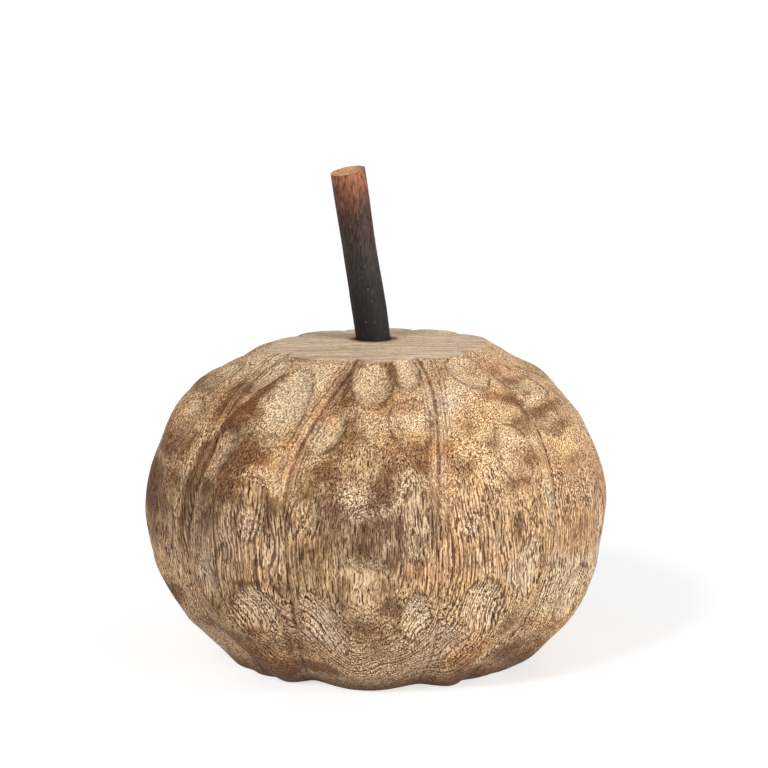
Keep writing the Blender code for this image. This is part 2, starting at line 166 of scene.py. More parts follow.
# Darker (+) and paler (-) places of the wood, partly its own tone and partly painted shade and
# painted light, such as dark lines in the creases and at scoop edges and pale strips beside them:
# azimuth in degrees, height, half width and half length in mm, lean to the right in degrees,
# strength
SHADES = (
    (-11.5, 66, 2.6, 6.5, 12, 0.6), (-15, 59.5, 3.2, 5.5, 15, 0.4), (6.6, 67, 1.6, 4, 0, 0.8),
    (-39, 64, 1.8, 6, 25, 0.9), (-46, 58.5, 7.5, 4.6, 0, 0.75), (-51, 50, 1.8, 6, 0, 0.95),
    (-44.5, 44, 8, 2.4, 0, 0.75), (-36.5, 49.8, 7.5, 2.4, -10, 0.65), (-53, 39, 2.4, 10, 0, 0.75),
    (-54.5, 62.5, 3, 7, 0, 0.45), (-76, 40, 9, 6, 0, 1), (-67, 36, 9, 6, 0, 0.6),
    (-68, 49.5, 11, 2.8, 0, 0.7), (-80, 60, 8, 3.6, 0, 0.6), (-72, 30, 14, 3, 0, 0.4),
    (-41, 6.5, 6, 6, 0, 0.85), (-33, 11, 11, 4.5, 0, 0.55), (-23.5, 12, 2, 7, 0, 0.35),
    (-10, 39, 8, 3.4, 0, 0.45), (2, 34, 5, 3.6, 0, 0.25), (0, 50, 9, 3, 0, 0.25),
    (1, 17.5, 9, 4, 0, 0.5), (-16, 30, 5, 6, 0, 0.35), (-34, 24, 5, 2, 0, 0.45),
    (-45, 19, 7, 4, 0, 0.3), (11, 53.5, 7, 2.6, 0, 0.6), (3.5, 60.5, 5, 2.4, 0, 0.55),
    (18.6, 63, 1.4, 6, 0, 0.35), (26.5, 57.3, 3.4, 2.6, 0, 0.6), (37, 61.5, 7, 2.2, 0, 0.5),
    (50.5, 59.5, 2.2, 5, 0, 0.45), (62, 66, 9, 2.6, 0, 0.5), (35.2, 36.5, 1.8, 4, 0, 0.8),
    (27.6, 43, 1.6, 4, 0, 0.55), (36, 16.5, 4, 4.5, 0, 0.55), (27, 7, 5, 4.6, 0, 0.45),
    (46, 6.5, 3, 4, 30, 0.6), (56, 6, 10, 4.6, 0, 0.8), (61, 36, 5, 3.4, 0, 0.4),
    (-30, 61.5, 5.6, 8, -12, -0.85), (-3, 66, 4.6, 6, 0, -0.5), (-14, 57, 3.2, 5, 15, -0.5),
    (11.5, 67, 3, 6, 0, -0.4), (25, 62.3, 6.5, 3.6, 0, -0.9), (21.5, 58, 3.6, 4, 0, -0.6),
    (46, 63.5, 2.4, 4, 20, -0.5), (-30, 18.5, 5.2, 5.2, 0, -0.7), (-12.5, 17, 3.6, 7.5, -24, -0.7),
    (10, 19.2, 3.4, 5.6, 0, -0.75), (-3, 26, 4.6, 4.6, 0, -0.6), (38.5, 28, 4.4, 6, 5, -0.75),
    (25, 20.5, 4.6, 4.6, -12, -0.5), (47.5, 41, 1.8, 7, 0, -0.8), (49, 23, 3, 8, 0, -0.6),
    (60, 18, 9, 6.5, 10, -0.7), (75, 25, 9, 9, 0, -0.45), (36, 7.6, 3, 6.4, 48, -0.7),
    (-33, 47.2, 5, 2.6, 0, -0.5), (-31, 41, 3.2, 4, 0, -0.4), (-46, 51, 3.6, 5, 14, -0.35),
    (-46, 66.5, 4, 4, 0, -0.45), (-45, 27, 5, 5, 0, -0.3), (-57, 22, 3, 8, 0, -0.4),
    (-5, 45, 5, 2.6, 0, -0.45), (62, 62, 8, 2.6, 0, -0.5), (-72, 63.5, 12, 3, 0, -0.35),
    (-2, 7.5, 5, 4, 0, -0.35), (-37, 53, 7, 2.6, -15, 0.6), (-12, 49, 6, 3, 0, 0.6),
    (-40, 47.5, 8, 2, 0, 0.5), (-44, 39, 5, 5, 0, 0.7), (-35, 42.5, 6, 1.6, 0, 0.4),
    (-9, 60, 2.6, 7, 0, 0.6), (2, 39, 5, 2.6, 0, 0.8), (0.5, 44.5, 3, 3, 0, 0.5),
    (-7, 33, 10, 7, 0, 0.35), (6, 65, 3, 3.5, 0, 0.5), (28, 66, 3, 3, 0, 0.4),
    (45, 55.5, 5, 3, 10, 0.7), (33, 54, 3, 2.4, 0, 0.4), (58, 57, 9, 2.2, 0, 0.5),
    (60, 63.5, 10, 2, 0, 0.5), (-72, 63, 12, 2, 0, 0.65), (-72, 53, 14, 3, 0, 0.45),
    (-68, 44, 14, 3, 0, 0.4), (-74, 16, 12, 3, 0, 0.45), (-33, 4.5, 8, 3, 0, 0.5),
    (-18, 6, 5, 2.5, 0, 0.4), (28, 4.5, 4, 3, 0, 0.4), (10, 51, 4, 1.6, 0, 0.4),
    (-32, 15, 4, 1.6, 0, 0.4), (-12, 36, 5, 3, 0, 0.3), (18, 58, 4, 4, 0, -0.35),
    (-23, 45.5, 3, 2, 0, -0.4), (-24, 34, 2, 4, 0, -0.4), (-29, 23, 3, 2, 0, -0.3),
    (19, 12, 5, 4, 0, -0.6), (37, 8.5, 4, 2.5, 0, -0.5), (52, 26, 6, 4, 0, -0.5),
    (35, 28, 4, 4, 0, -0.4), (62, 38, 6, 3, 0, -0.35), (17, 66, 3, 3, 0, -0.4),
    (-27, 66, 6, 4, 0, -0.6), (-62, 60, 6, 2.5, 0, 0.5), (-45, 56, 7, 2, 0, 0.4),
    (-37, 47, 4, 4, 0, 0.6), (-8, 62.5, 2.6, 4, 0, 0.45), (-5, 58.5, 2.4, 3, 0, 0.5),
    (-10, 53, 4, 2.4, 0, 0.7), (-11, 44.5, 4, 4, 0, 0.6), (3, 46, 2.6, 4, 0, 0.5),
    (-1, 42.5, 4, 2, 0, 0.4), (5, 57, 4, 3.5, 0, 0.5), (36, 46.5, 4, 2.4, 0, 0.4),
    (60, 63, 10, 2.4, 0, 0.5), (62, 54.5, 7, 2, 0, 0.4), (-72, 16, 10, 3, 0, 0.5),
    (-39, 4.5, 8, 4, 0, 0.6), (3, 22, 3, 2.4, 0, 0.5), (-66, 67, 12, 3, 0, -0.4),
    (-20, 58, 3, 5, 0, -0.4), (-40, 62, 4, 2.6, 0, 0.5), (-33, 51, 4, 3, 0, 0.6),
    (-42, 55, 7, 2.6, 0, 0.4), (-59, 57, 5, 2.6, 0, 0.45), (-74, 61, 10, 3, 0, 0.15),
    (-25, 42, 2.6, 2.6, 0, 0.5), (-18, 46, 3, 3, 0, 0.5), (-8, 44, 3, 5, 0, 0.35),
    (12.5, 49.5, 2.6, 3, 0, 0.55), (15, 44.5, 2.4, 3, 0, 0.55), (42, 50.5, 5, 3, 0, 0.6),
    (62, 47, 6, 2.4, 0, 0.6), (-7.5, 25, 2.4, 4, 0, 0.55), (1.5, 26, 2, 2, 0, 0.5),
    (4, 32, 2.4, 3, 0, 0.5), (-4, 17.5, 3, 3, 0, 0.4), (2, 12.5, 3, 3, 0, 0.3),
    (9, 37, 4, 3, 0, 0.45), (-74, 17.5, 10, 3, 0, 0.4), (-48, 13, 10, 3, 0, 0.35),
    (-38, 3.5, 6, 3, 0, 0.7), (-19, 5, 6, 2.6, 0, 0.6), (-29, 6.5, 5, 2.6, 0, 0.45),
    (58, 32, 8, 2.6, 0, 0.4), (77, 59, 6, 3, 0, 0.5), (31, 4, 3, 3, 0, 0.5), (7, 63, 4, 2, 0, 0.4),
    (-24, 63.5, 4, 3, 0, -0.55), (30, 49, 3, 4, 0, -0.45), (1.5, 57.5, 3, 2.4, 0, -0.45),
    (-8.5, 59.5, 2, 2, 0, -0.4), (-60, 28, 6, 2.6, 0, -0.45), (-17, 64.5, 2, 6, 20, 0.45),
    (-52, 62, 5, 2.4, 0, 0.45), (13, 60.5, 3.4, 1.8, 0, 0.45), (47, 60.5, 6, 2, 0, 0.5),
    (4.5, 48.5, 3, 2, 0, 0.25), (-24.5, 41, 2.4, 2.4, 0, 0.4), (-32, 38, 2.4, 2.4, 0, 0.45),
    (-44, 36, 3.4, 3, 0, 0.3), (12, 35.5, 2.4, 3, 0, 0.35), (9.5, 39, 2.4, 2.4, 0, -0.45),
    (-6.5, 26, 2.6, 2.6, 0, 0.45), (8.5, 28.5, 2.6, 3, 0, 0.45), (24, 29.5, 2.2, 2.4, 0, 0.45),
    (27, 34, 2.2, 2.4, 0, 0.35), (-23, 24.5, 2.4, 2, 0, 0.4), (-37, 20.5, 3.4, 2, 0, 0.45),
    (-24, 16.5, 2.4, 2, 0, 0.45), (-2, 13.5, 4, 2, 0, 0.4), (-50, 12, 10, 2.4, 0, 0.35),
    (-37, 3.5, 7, 2.6, 0, 0.45), (-27, 66.5, 4, 3, 0, -0.4), (-24, 63.5, 3, 2.4, 0, -0.45),
    (18.5, 67.5, 4, 3, 0, -0.5), (17, 58, 2.4, 2.4, 0, -0.35), (36, 28.5, 3, 2.6, 0, -0.45),
    (60, 24.5, 9, 2.6, 0, -0.4), (16, 8, 4, 3.6, 0, -0.55), (16, 20.5, 3, 2.4, 0, -0.35),
    (-29, 22, 3, 2, 0, -0.35), (67, 57.5, 6, 1.4, 0, 0.3), (-42.5, 60.5, 0.9, 4.5, 24, 0.75),
    (-47.5, 55.5, 0.9, 5, 22, 0.8), (-51.5, 49, 0.9, 5.5, 10, 0.75), (-54, 41, 0.9, 6.5, 6, 0.7),
    (-55.5, 31, 0.9, 6.5, 4, 0.6), (-46, 61, 1.4, 4.5, 24, -0.5), (20, 49, 8, 6, 0, 0.25),
    (42, 46, 6, 3, 0, 0.3), (0, 46, 7, 3, 0, 0.2), (40, 66, 5, 3, 0, 0.25), (78, 46, 5, 5, 0, -0.4),
    (66, 40, 4, 5, 0, -0.25), (66, 66, 6, 2.4, 0, -0.3), (18, 5, 6, 3, 0, -0.3),
    (-42, 2.5, 6, 2, 0, 0.5), (-22, 6, 6, 3, 0, -0.35), (58, 22, 8, 4, 0, -0.35),
    (38, 24, 5, 3, 0, -0.25), (-20, 65, 3, 3, 0, -0.3), (-10, 64.6, 0.8, 6, 0, 0.55),
    (7.8, 66, 0.8, 4.5, 0, 0.55), (-1, 60.4, 3.4, 0.9, 0, -0.6), (-31, 34.3, 2.6, 0.9, 0, 0.55),
    (5.5, 37, 0.8, 6, 0, 0.45), (14.5, 37, 0.8, 6, 0, 0.45), (34.5, 27, 0.8, 5, 5, 0.5),
    (44.5, 29, 0.8, 5, 5, 0.5), (5.8, 19, 0.8, 4.6, 0, 0.5), (14.2, 19, 0.8, 4.6, 0, 0.5),
    (10, 25, 2.6, 0.9, 0, 0.5), (-21, 18, 0.8, 5, 0, 0.7), (-20.5, 10, 0.8, 5, 0, 0.55),
    (-31, 25.5, 5, 0.9, 0, 0.65), (-36.5, 21.5, 0.9, 3, 25, 0.5), (-34, 45.5, 4, 0.9, 0, 0.6),
    (-26.5, 40, 0.8, 5, 0, 0.6), (-34.5, 38, 0.8, 5, 0, 0.5), (-41.5, 69, 2.4, 3, 40, 0.55),
    (-51.5, 55.5, 1.5, 5, 22, -0.55), (-56, 48, 1.5, 5.5, 10, -0.4), (-70, 19.5, 16, 2.6, 0, 0.45),
    (-68, 11, 14, 3, 0, 0.3), (-36, 2.5, 6, 2.2, 0, 0.6), (36, 1.5, 6, 2.4, 0, 0.7),
    (60, 2.5, 9, 2, 0, 0.4), (29, 11.5, 3, 3, 0, 0.35), (58, 58, 6, 2, 0, 0.4),
    (42.5, 41, 3.4, 2.6, 0, 0.4), (-3, 34.5, 3, 3.4, 0, 0.5), (4, 22.5, 3, 2.6, 0, 0.45),
    (32, 52.5, 4, 2.4, 0, 0.35), (48, 49, 6, 2.4, 0, 0.35), (60, 43.5, 7, 2.4, 0, 0.35),
    (-26, 37, 2.4, 2, 0, 0.35), (-17, 44, 2.6, 3, 0, 0.3), (-18, 52, 2.4, 2, 0, 0.3),
    (17, 16, 3, 3.6, 0, -0.5), (38, 8.5, 3.4, 1.8, 0, -0.6), (54, 23.5, 5, 2.4, 0, -0.4),
    (-23, 37.5, 2, 2.6, 0, -0.4), (24.5, 37.5, 2, 2.4, 0, -0.3), (19.5, 68, 4, 3, 0, -0.5),
    (22, 60.5, 2.4, 2.4, 0, -0.45), (-41, 5, 9, 4, 0, 0.5), (-20, 5, 8, 3.4, 0, 0.45),
    (0, 27, 6, 4, 0, 0.3), (-34, 57.5, 3, 2.4, 0, 0.4), (-38, 62.5, 3, 2.6, 0, 0.45),
    (-38, 68, 5, 2.4, 0, 0.45), (-37, 42, 4, 1.8, 0, 0.45), (-60, 43, 4, 3, 0, 0.45),
    (-74, 18, 8, 2.4, 0, 0.4), (-32.5, 15, 3, 2, 0, 0.5), (2, 25.5, 2.4, 2.6, 0, 0.2),
    (6, 67, 6, 2.4, 0, 0.3), (60, 58, 8, 2.2, 0, 0.15), (76, 56, 8, 2.4, 0, 0.4),
    (-25, 64, 3, 3, 0, -0.45), (-22, 57.5, 2, 3, 0, -0.3), (19, 60, 3, 4, 25, -0.5),
    (17, 49.5, 2, 3, 0, -0.4), (49, 41, 2.6, 3, 0, -0.4), (36.5, 28, 3, 3, 0, -0.45),
    (-29, 22, 3, 2.4, 0, -0.45), (-15, 14.5, 3, 3, 0, -0.55), (16, 12, 3.4, 4, 0, -0.5),
    (45, 11, 4, 2.4, 0, -0.45), (37.5, 9, 3, 2.2, 0, -0.6), (55, 24, 6, 2.6, 0, -0.4),
    (-5.5, 55.5, 4, 2, 0, 0.8), (-1, 53, 5, 2.4, 0, 0.4), (4.5, 50.5, 3.4, 2, 0, 0.45),
    (-3, 46.5, 3, 2, 0, 0.4), (23, 49.5, 3, 2.4, 0, 0.6), (35, 44.5, 6, 2, 0, 0.5),
    (-57, 51, 4, 3, 0, 0.45), (-68, 47.5, 12, 1.8, 0, 0.4), (-39, 59, 5, 2.4, 0, 0.4),
    (-28, 55.5, 2.6, 1.6, 0, 0.5), (-13, 49.5, 2, 2.4, 0, 0.5), (-7, 21.5, 3, 3, 0, 0.4),
    (-23, 25, 2.6, 2, 0, 0.4), (-44, 17, 7, 3, 0, 0.35), (-38, 2.5, 5, 2.6, 0, 0.6),
    (32, 2.5, 5, 2.6, 0, 0.45), (56, 4, 9, 2, 0, 0.4), (46, 59.5, 4, 1.6, 0, 0.4),
    (62, 53.5, 6, 1.8, 0, 0.4), (37, 15, 4, 2, 0, 0.35), (-62, 67, 14, 3, 0, -0.45),
    (-50, 65.5, 6, 2.4, 0, -0.4), (-22, 62, 2.4, 4, 0, -0.5), (-16.5, 57.5, 2.4, 2.6, 0, -0.4),
    (-23, 51, 2.4, 4, 0, -0.5), (18, 58.5, 3.4, 3.4, 25, -0.6), (16.5, 52, 1.8, 3, 0, -0.5),
    (18.5, 67.5, 4, 3.4, 0, -0.7), (51, 63.5, 4, 2, 0, -0.45), (49, 43, 2.6, 4, 0, -0.45),
    (22, 37, 2, 2.6, 0, -0.5), (32, 35, 2, 3, 0, -0.4), (35, 26, 3.4, 4, 0, -0.6),
    (31, 21, 2.4, 3, 0, -0.5), (-20, 14, 2.4, 4, 0, -0.5), (14, 15, 3, 3, 0, -0.5),
    (17, 8.5, 4, 4, 0, -0.65), (37.5, 8.5, 3.4, 2.4, 0, -0.8), (48, 18, 3.4, 3, 0, -0.45),
    (60, 23.5, 8, 3, 0, -0.4), (76, 28, 6, 5, 0, -0.35), (9, 23, 2.4, 2, 0, -0.4),
    (-42, 28.5, 5, 2, 0, -0.4), (17, 49, 2.6, 5, 0, -0.6), (20, 57, 4, 4, 0, -0.35),
    (18, 66.5, 4, 3, 0, -0.6), (27, 46, 3, 3, 0, -0.4), (23, 40, 3, 4, 0, -0.35),
    (48, 42, 4, 3, 0, -0.4), (-37, 34, 5, 2.5, 0, -0.4), (-25, 32, 3, 4, 0, -0.4),
    (-15, 37, 3, 2, 0, -0.4), (-30, 22, 4, 3, 0, -0.5), (-14, 16.5, 3, 4, 0, -0.6),
    (-8, 10.5, 5, 3, 0, -0.35), (11, 17.5, 4, 4, 0, -0.35), (20, 11, 6, 4, 0, -0.45),
    (37, 9, 4, 2.5, 0, -0.5), (30, 19, 4, 2.5, 0, -0.35), (52, 25, 7, 4, 0, -0.5),
    (66, 25, 9, 4, 0, -0.55), (52, 15, 7, 3, 0, -0.35), (74, 10, 9, 5, 0, -0.35),
    (78, 36, 7, 6, 0, -0.35),
)

# Redder (+) and greyer (-) places, in the same terms
TINTS = (
    (-46, 58, 8, 6, 0, 1), (-70, 52, 16, 7, 0, 0.6), (11, 54, 9, 4.5, 0, 0.9),
    (3, 61, 7, 3.5, 0, 0.8), (46, 61, 6.5, 4.5, 0, 0.6), (25, 62, 6, 4.5, 0, -0.8),
    (-31, 62, 5, 8, 0, -0.6), (-46, 51, 5, 5, 0, 0.5), (78, 44, 8, 9, 0, 0.5),
    (62, 65, 12, 4.5, 0, 0.7), (55, 50, 8, 10, 0, 0.35), (60, 34, 8, 9, 0, 0.4),
    (25, 9, 13, 7, 0, 0.9), (-22, 54, 3, 12, 0, 0.7), (17.5, 52, 3.4, 13, 0, 0.75),
    (-28, 8, 16, 7, 0, 0.6), (-15, 60, 4, 6, 0, 0.8), (-30, 52, 8, 4, 0, 0.5),
    (60, 12, 14, 8, 0, 0.6), (-1, 40, 15, 12, 0, -0.9), (-2, 24, 12, 8, 0, -0.6),
    (-40, 34, 13, 11, 0, -0.8), (27, 36, 9, 12, 0, -0.35), (-56, 38, 4, 12, 0, -0.5),
)

# Where the open pores reach higher (+) or end lower (-), in the same terms
PORED = (
    (0, 53, 9, 8, 0, 1), (30, 50, 9, 6, 0, 0.7), (-44, 49, 6, 5, 0, 0.5), (-22, 47, 4, 9, 0, -0.9),
    (17, 48, 4, 9, 0, -0.8), (40, 50, 4, 7, 0, -0.6), (-31, 42, 4, 5, 0, -0.5),
    (62, 46, 5, 8, 0, -0.6),
)

# The finer surface of the body
RIB_STEPS = 54
BODY_ROWS = 168
TOP_RINGS = 10
BASE_RINGS = 3
SANDING_PASSES = 1
CREASE_CROWDING = 0.5
CREASE_LINE_WIDTH = 0.7 * MM
CREASE_LINE_DEPTH = 0.40 * MM
FAR_OFF_MM = 9.0
UNEVENNESS = ((0.09, 0.14 * MM), (0.32, 0.05 * MM))

# How far a spot of tone reaches, as a share of its size in the tables, and how it fades
TONE_SPREAD = 1.25
TONE_FALL = 1.3

# The back's own tones: from and to which azimuth, how many spots, and how strong
BACK_AZIMUTHS = (98.0, 262.0)
BACK_SHADES = (130, 0.5)
BACK_TINTS = (36, 0.8)

# The block's place in its log: the ring centre is in front of the pumpkin, a little to the left
PITH_X_MM = -6.0
PITH_Y_MM = -92.0
RING_MM = 0.70
LINE_MM = 0.28


def outline():
    """Length along the outline, radius, height and outward normal, from base to top."""
    z = np.linspace(0.0, BODY_HEIGHT, OUTLINE_SAMPLES)
    bulge = np.where(z < WIDEST_HEIGHT, LOW_BULGE, HIGH_BULGE)
    away = np.abs(z - WIDEST_HEIGHT) / OUTLINE_REACH
    r = BODY_RADIUS * (1.0 - away ** bulge) ** (1.0 / bulge)
    along = np.concatenate([[0.0], np.cumsum(np.hypot(np.diff(r), np.diff(z)))])
    slope_r = np.gradient(r, along)
    slope_z = np.gradient(z, along)
    size = np.hypot(slope_r, slope_z)
    return along, r, z, slope_z / size, -slope_r / size


def crease_azimuths(height):
    """The azimuth of every crease at a height, in radians, with the first again at the end."""
    turns = [np.polyval(np.polyfit(CREASE_HEIGHTS, crease, 3), height) for crease in CREASES]
    return np.radians(turns + [turns[0] + 360.0])


def crease_depth(height):
    """How far a crease lies below the crest of its ribs, at a height."""
    heights = (0.0, WIDEST_HEIGHT, BODY_HEIGHT)
    return np.interp(height, heights, (CREASE_DEPTH_FOOT, CREASE_DEPTH_WAIST, CREASE_DEPTH_TOP))


def oval(where, spot, half_sizes, lean=0.0):
    """How far points are from a spot's middle: 0 there, 1 on its oval outline, squared."""
    azimuth, along, radius, outline_along, outline_z = where
    turn, height = spot
    aside = (azimuth - math.radians(turn) + math.pi) % (2 * math.pi) - math.pi
    across = aside * radius
    up = along - np.interp(height * MM, outline_z, outline_along)
    cos, sin = math.cos(math.radians(lean)), math.sin(math.radians(lean))
    reach = ((across * cos - up * sin) / (half_sizes[0] * MM)) ** 2
    return reach + ((across * sin + up * cos) / (half_sizes[1] * MM)) ** 2


def rough_rise(where):
    """How far the rough shaping left the surface outside its even outline."""
    rise = 0.0
    for turn, height, half_width, half_length, amount in ROUGH_SHAPE:
        reach = oval(where, (turn, height), (half_width, half_length))
        rise = rise + amount * MM * np.clip(1.0 - reach, 0.0, None) ** 2
    return rise


def tone(where, spots):
    """The sum of the spots at each point, from -1 to 1."""
    total = 0.0
    for turn, height, half_width, half_length, lean, amount in spots:
        half_sizes = (TONE_SPREAD * half_width, TONE_SPREAD * half_length)
        reach = oval(where, (turn, height), half_sizes, lean)
        total = total + amount * np.clip(1.0 - reach, 0.0, None) ** TONE_FALL
    return np.clip(total, -1.0, 1.0)


def ruled_scoops():
    """Scoops for the ribs at the back, in the same terms as SCOOPS."""
    draw = np.random.RandomState(RULED_SEED)
    found = []
    for rib in RULED_RIBS:
        for row, height in enumerate(RULED_HEIGHTS_MM):
            z = height + draw.uniform(-1.0, 1.0) * RULED_HEIGHT_SPREAD_MM
            edges = crease_azimuths(z * MM)
            middle = (edges[rib] + edges[rib + 1]) / 2
            half = (edges[rib + 1] - edges[rib]) / 2
            side = RULED_SIDE_STEP * (-1) ** (row + rib)
            side += draw.uniform(-1.0, 1.0) * RULED_SIDE_SPREAD
            found.append((
                math.degrees(middle + half * side), z, draw.uniform(*RULED_HALF_WIDTH_MM),
                draw.uniform(*RULED_HALF_LENGTH_MM), draw.uniform(-RULED_LEAN, RULED_LEAN),
                draw.uniform(*RULED_DEPTH_MM), 1 + draw.randint(2),
            ))
    return found


def scoop_marks(where, scoops):
    """The gouge's depth at each point, and how far outside a crisp scoop it is, in mm."""
    deepest, off_rim = 0.0, FAR_OFF_MM
    for turn, height, half_width, half_length, lean, depth, softness in scoops:
        reach = oval(where, (turn, height), (half_width, half_length), lean)
        cut = depth * MM * np.clip(1.0 - reach, 0.0, None) ** softness
        deepest = np.maximum(deepest, cut)
        if softness == 1:
            off_rim = np.minimum(off_rim, (np.sqrt(reach) - 1.0) * half_width)
    return deepest, off_rim


def ruled_tones(count, strength):
    """Spots of tone for the back, in the same terms as SHADES."""
    draw = np.random.RandomState(RULED_SEED + count)
    return tuple((
        draw.uniform(*BACK_AZIMUTHS), draw.uniform(4.0, 67.0), draw.uniform(3.0, 9.0),
        draw.uniform(2.5, 7.0), draw.uniform(-25.0, 25.0), draw.uniform(-strength, strength),
    ) for _ in range(count))


def smoothed(field, passes):
    """A field on the grid, each pass averaged with its neighbours; columns go round."""
    for _ in range(passes):
        padded = np.pad(field, ((1, 1), (0, 0)), mode="edge")
        beside = (np.roll(field, 1, axis=1) + np.roll(field, -1, axis=1)) / 2
        above = (padded[:-2] + padded[2:]) / 2
        field = field / 2 + beside / 4 + above / 4
    return field


def unevenness(points):
    """Small rises and dips of the hand-worked surface, in metres, at each point of a grid."""
    flat = points.reshape(-1, 3) / MM
    total = np.zeros(len(flat))
    for scale, height in UNEVENNESS:
        total += height * np.array([noise.noise(Vector(p) * scale) for p in flat])
    return total.reshape(points.shape[:-1])


def slopes(points):
    """How steeply the surface cuts through the log's rings, and how upright it stands: 0 to 1."""
    up = np.gradient(points, axis=0)
    on = np.roll(points, -1, axis=1) - np.roll(points, 1, axis=1)
    normal = np.cross(on, up)
    normal /= np.linalg.norm(normal, axis=-1, keepdims=True)
    outward = points[..., :2] / MM - np.array((PITH_X_MM, PITH_Y_MM))
    outward /= np.linalg.norm(outward, axis=-1, keepdims=True)
    along = (normal[..., :2] * outward).sum(axis=-1)
    return np.sqrt(np.clip(1.0 - along ** 2, 0.0, 1.0)), 1.0 - np.abs(normal[..., 2])


def carved_grid():
    """Rings of points from the base to the rim of the top, and what is known of each point."""
    along, r, z, normal_r, normal_z = outline()
    stations = np.linspace(0.0, along[-1], BODY_ROWS + 1)
    row_r, row_z = np.interp(stations, along, r), np.interp(stations, along, z)
    row_nr, row_nz = np.interp(stations, along, normal_r), np.interp(stations, along, normal_z)

    across = np.arange(RIB_STEPS) / RIB_STEPS
    across -= CREASE_CROWDING * np.sin(2 * math.pi * across) / (2 * math.pi)
    azimuth, side, from_crease = [], [], []
    for height, radius in zip(row_z, row_r):
        edges = crease_azimuths(height)
        azimuth.append(np.concatenate([a + (b - a) * across for a, b in zip(edges, edges[1:])]))
        side.append(np.tile(2 * across - 1, len(CREASES)))
        widths = np.repeat(np.diff(edges) * radius, RIB_STEPS)
        from_crease.append(widths / 2 * (1 - np.abs(side[-1])))
    azimuth, side, from_crease = np.array(azimuth), np.array(side), np.array(from_crease)

    column = np.newaxis
    soft = np.interp(row_z, SOFT_CREASE_HEIGHTS, (1.0, 0.0))[:, column]
    profile = soft * np.sin(math.pi / 2 * side) ** 2 + (1 - soft) * np.abs(side) ** CREASE_SHARPNESS
    valley = crease_depth(row_z)[:, column] * profile - RIB_SWELL
    crease = np.exp(-(from_crease / CREASE_LINE_WIDTH) ** 2) * (1 - soft)
    scoops = SCOOPS + tuple(ruled_scoops())
    where = (azimuth, stations[:, column], row_r[:, column], along, z)
    scoop, off_rim = scoop_marks(where, scoops)
    scoop = smoothed(scoop, SANDING_PASSES)
    straight = np.stack([row_r[:, column] * np.sin(azimuth), -row_r[:, column] * np.cos(azimuth),
                         np.broadcast_to(row_z[:, column], azimuth.shape)], axis=-1)
    cut = valley + CREASE_LINE_DEPTH * crease + scoop - rough_rise(where)
    cut += unevenness(straight)

    # A cut goes in along the normal, and level where the surface meets the flat base and top
    to_edge = np.minimum(stations, along[-1] - stations)
    level = np.clip(1.0 - to_edge / EDGE_ZONE, 0.0, 1.0)
    way_r, way_z = row_nr * (1 - level) + level, row_nz * (1 - level)
    push = cut / np.maximum(row_nr * way_r + row_nz * way_z, EDGE_STEEPNESS)[:, column]
    radius = row_r[:, column] - push * way_r[:, column]
    height = row_z[:, column] - push * way_z[:, column]
    points = np.stack([radius * np.sin(azimuth), -radius * np.cos(azimuth), height], axis=-1)
    steep, upright = slopes(points)
    marks = {
        "off_rim": off_rim, "off_crease": from_crease / MM, "steep": steep, "upright": upright,
        "shade": tone(where, SHADES + ruled_tones(*BACK_SHADES)),
        "tint": tone(where, TINTS + ruled_tones(*BACK_TINTS)), "pored": tone(where, PORED),
    }
    return points, marks


def tilted(points):
    """The points with the flat top, and what is near it, a little higher on the right."""
    share = np.clip((points[..., 2] - TILTED_FROM) / (BODY_HEIGHT - TILTED_FROM), 0.0, 1.0)
    moved = points.copy()
    moved[..., 2] += TOP_TILT * points[..., 0] * share ** 2
    return moved


def stem_frame():
    """The twig's axis and two directions across it."""
    lean = math.radians(STEM_LEAN_LEFT)
    axis = np.array([-math.sin(lean), 0.0, math.cos(lean)])
    right = np.array([math.cos(lean), 0.0, math.sin(lean)])
    front = np.array([0.0, -1.0, 0.0])
    return axis, right, front


def stem_foot():
    """Where the twig's axis leaves the top."""
    return np.array([STEM_FOOT_X, STEM_FOOT_Y, BODY_HEIGHT + TOP_DOME])


def solid_from_rings(name, rings, marks=None):
    """A closed solid with quads between rings of equal count and a flat face at each end."""
    count = len(rings[0])
    points = np.concatenate(rings)
    points = np.clip(points, np.array(cad_box[0]), np.array(cad_box[1]))
    faces = [tuple(range(count))[::-1]]
    for ring in range(len(rings) - 1):
        low, high = ring * count, (ring + 1) * count
        for step in range(count):
            after = (step + 1) % count
            faces.append((low + step, low + after, high + after, high + step))
    faces.append(tuple(range(len(points) - count, len(points))))

    mesh = bpy.data.meshes.new(name)
    mesh.from_pydata(points.tolist(), [], faces)
    for mark, values in (marks or {}).items():
        layer = mesh.attributes.new(mark, "FLOAT", "POINT")
        layer.data.foreach_set("value", np.asarray(values, dtype=np.float32).ravel())
    mesh.shade_smooth()
    piece = bpy.data.objects.new(name, mesh)
    bpy.context.scene.collection.objects.link(piece)
    return piece


